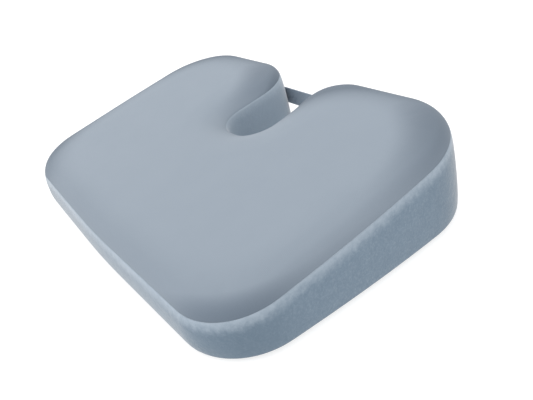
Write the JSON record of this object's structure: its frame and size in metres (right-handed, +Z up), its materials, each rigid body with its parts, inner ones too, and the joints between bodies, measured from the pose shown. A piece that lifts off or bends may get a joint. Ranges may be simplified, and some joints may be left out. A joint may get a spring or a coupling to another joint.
{
  "type": "wedge seat cushion",
  "caption": "Wedge-shaped foam seat cushion with a U-shaped rear cut-out, crowned knit top, plush side band, side zipper and webbing carry handle.",
  "frame": {"origin": "the floor under the middle of the cushion, on its underside", "axes": "+X to the right seen from the thin front edge, +Y to the thick rear edge with the cut-out, +Z up"},
  "size_m": [0.4609, 0.2955, 0.0833],
  "materials": {
    "top_knit": "smooth stretch knit, blue-grey, faint soft sheen",
    "side_velour": "short-pile velour, blue-grey, mottled by the lie of its pile",
    "grip_fabric": "plain weave with raised anti-slip dots",
    "liner_cloth": "thin white inner cloth",
    "support_foam": "open-cell support foam",
    "memory_foam": "slow-recovery foam",
    "webbing": "ribbed woven webbing, dark blue-grey",
    "thread": "polyester thread",
    "zipper_tape": "woven zipper tape",
    "zipper_coil": "nylon coil",
    "zipper_metal": "enamelled die-cast zinc, satin"
  },
  "bodies": {
    "cushion": {"foam_base": "support_foam", "foam_comfort_layer": "memory_foam", "liner_lower": "liner_cloth", "liner_upper": "liner_cloth", "top_panel": "top_knit", "bottom_panel": "grip_fabric", "band_main": "side_velour", "band_cutout": "side_velour", "band_rear_left": "side_velour", "band_zip_upper": "side_velour", "band_zip_lower": "side_velour", "zipper_tape_upper": "zipper_tape", "zipper_tape_lower": "zipper_tape", "zipper_coil_upper": "zipper_coil", "zipper_coil_lower": "zipper_coil", "zipper_top_stop_upper": "zipper_metal", "zipper_top_stop_lower": "zipper_metal", "zipper_bottom_stop": "zipper_metal", "handle_end_left": "webbing", "handle_end_right": "webbing", "handle_stitch_left": "thread", "handle_stitch_right": "thread"},
    "slider": {"zipper_slider": "zipper_metal"},
    "pull": {"zipper_pull": "zipper_metal"},
    "handle": {"handle_grip": "webbing"}
  },
  "joints": [
    {"name": "zipper_slide", "type": "hinge", "parent": "cushion", "child": "slider", "pos_m": [1.37276, 0.02542, 0.02], "axis": [0, 0, -1], "range_deg": [0, 3.94]},
    {"name": "pull_swing", "type": "hinge", "parent": "slider", "child": "pull", "pos_m": [-0.22955, -0.05381, 0.02], "axis": [0, 0, 1], "range_deg": [0, 170]},
    {"name": "handle_give", "type": "slide", "parent": "cushion", "child": "handle", "axis": [0, 1, 0], "range_m": [0, 0.015], "stiffness_N_per_m": 400}
  ]
}
